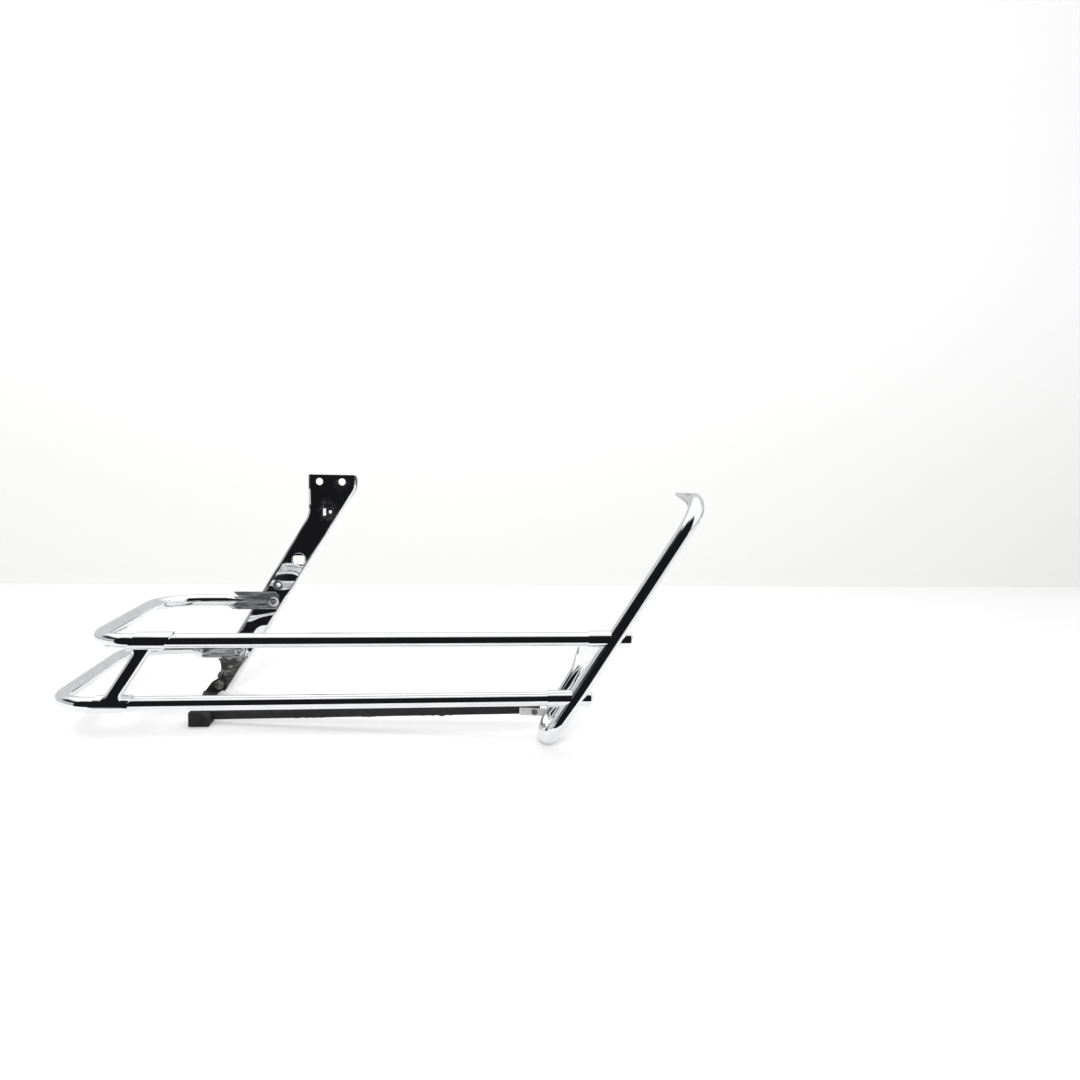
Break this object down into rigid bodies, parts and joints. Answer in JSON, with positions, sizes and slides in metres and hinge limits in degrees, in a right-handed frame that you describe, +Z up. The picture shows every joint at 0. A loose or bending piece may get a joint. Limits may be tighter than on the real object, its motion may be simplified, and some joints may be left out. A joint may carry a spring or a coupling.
{
  "type": "motorbike saddlebag guard",
  "caption": "Chrome saddlebag guard: slanted front hoop, parallel rails bent round the rear, cast link, pressed hanger bracket and a black bag support rail.",
  "frame": {"origin": "middle of the rear bracket's mounting holes, on the bracket's inboard face", "axes": "+X forward, +Y inboard towards the vehicle (along the mounting bolts), +Z up"},
  "size_m": [0.8733, 0.3506, 0.3604],
  "materials": {
    "chrome_tube": "polished chrome plate, light scuffs",
    "chrome_plate": "polished chrome plate, scuffed round the holes, dull and dirty at the lower end",
    "zinc_steel": "plated steel, slightly dull",
    "bare_steel": "bare metal flat",
    "black_coat": "black coating, worn along the edge",
    "black_rubber": "matt black"
  },
  "bodies": {
    "root": {"front_hoop": "chrome_tube", "upper_sleeve": "chrome_tube", "lower_sleeve": "chrome_tube", "upper_stub": "chrome_tube", "lower_stub": "chrome_tube", "upper_plug": "chrome_tube", "lower_plug": "chrome_tube", "upper_rail": "chrome_tube", "lower_rail": "chrome_tube", "rail_connector": "chrome_tube", "rear_bracket": "chrome_plate", "upper_end_screw": "zinc_steel", "lower_end_screw": "zinc_steel", "upper_end_washer": "zinc_steel", "lower_end_washer": "zinc_steel", "upper_end_nut": "zinc_steel", "lower_end_nut": "zinc_steel", "clip_nut": "zinc_steel", "clip_nut_cage": "zinc_steel", "threaded_bushing": "zinc_steel", "support_bolt": "zinc_steel", "support_washer": "zinc_steel", "support_nut": "zinc_steel", "arm_bolt": "zinc_steel", "arm_washer": "zinc_steel", "arm_nut": "zinc_steel", "support_tab": "bare_steel", "support_rail": "black_coat", "support_arm": "black_coat", "support_foot": "black_rubber"}
  },
  "joints": []
}
